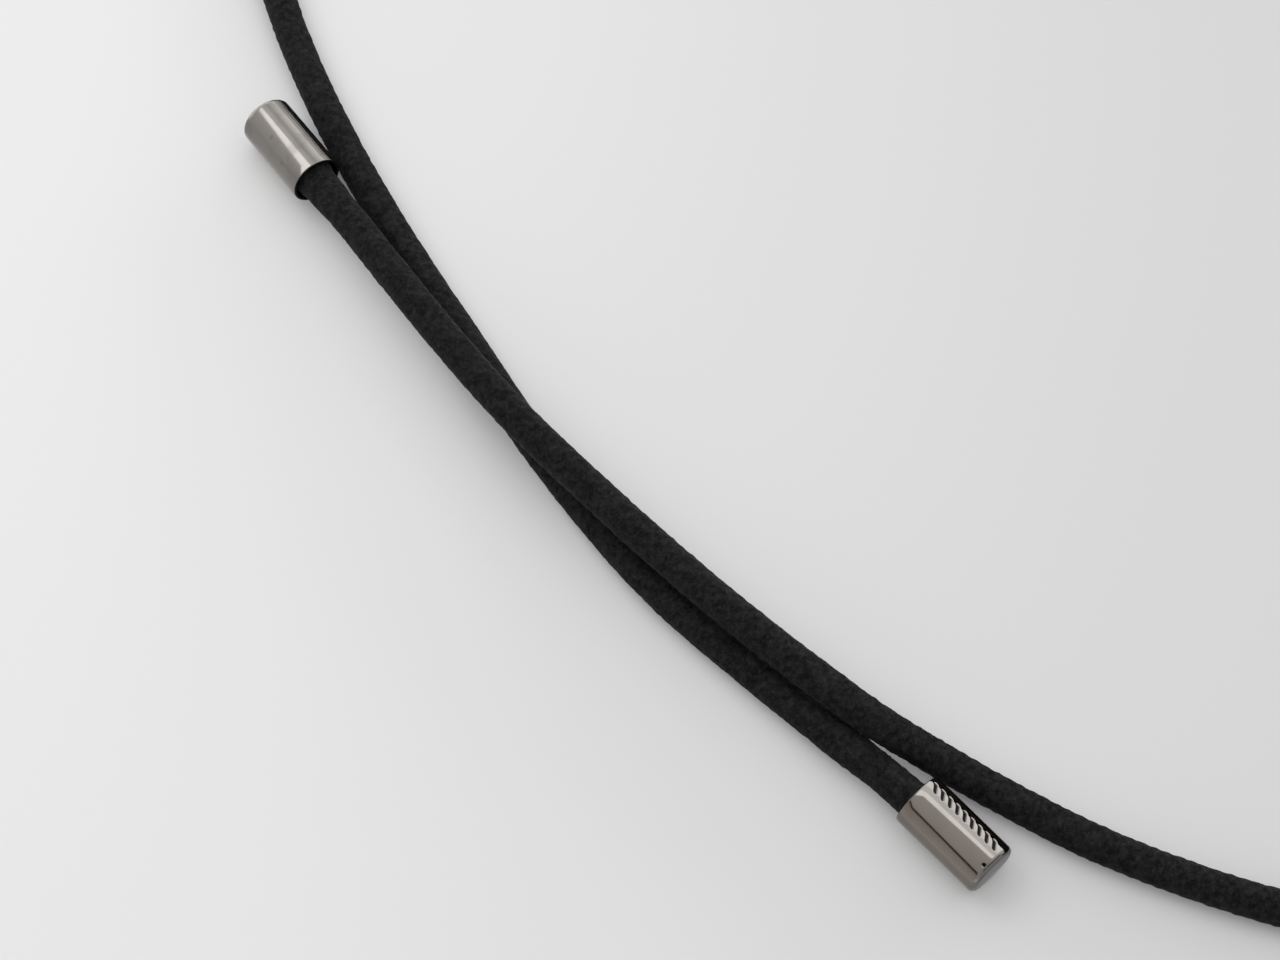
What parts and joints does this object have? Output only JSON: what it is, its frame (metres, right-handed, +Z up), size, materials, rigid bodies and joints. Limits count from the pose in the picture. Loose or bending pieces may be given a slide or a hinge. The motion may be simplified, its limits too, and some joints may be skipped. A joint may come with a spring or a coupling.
{
  "type": "cord necklace",
  "caption": "Open cord necklace: a round black textile cord laid in one loop, its ends crossing once, each held in a closed metal cup.",
  "frame": {"origin": "on the surface the necklace lies on, under the middle of the box round the whole loop", "axes": "+Z up from the surface; seen from above with +Y away, the two ends cross at the lower left and the loop lies to the upper right"},
  "size_m": [0.1285, 0.129, 0.0065],
  "materials": {
    "cord_sleeve": "matt black woven textile sleeve, fine grain",
    "dark_metal": "polished gunmetal plating with faint smudges"
  },
  "bodies": {
    "root": {"cord": "cord_sleeve", "end_cap_upper": "dark_metal", "end_cap_lower": "dark_metal"}
  },
  "joints": []
}
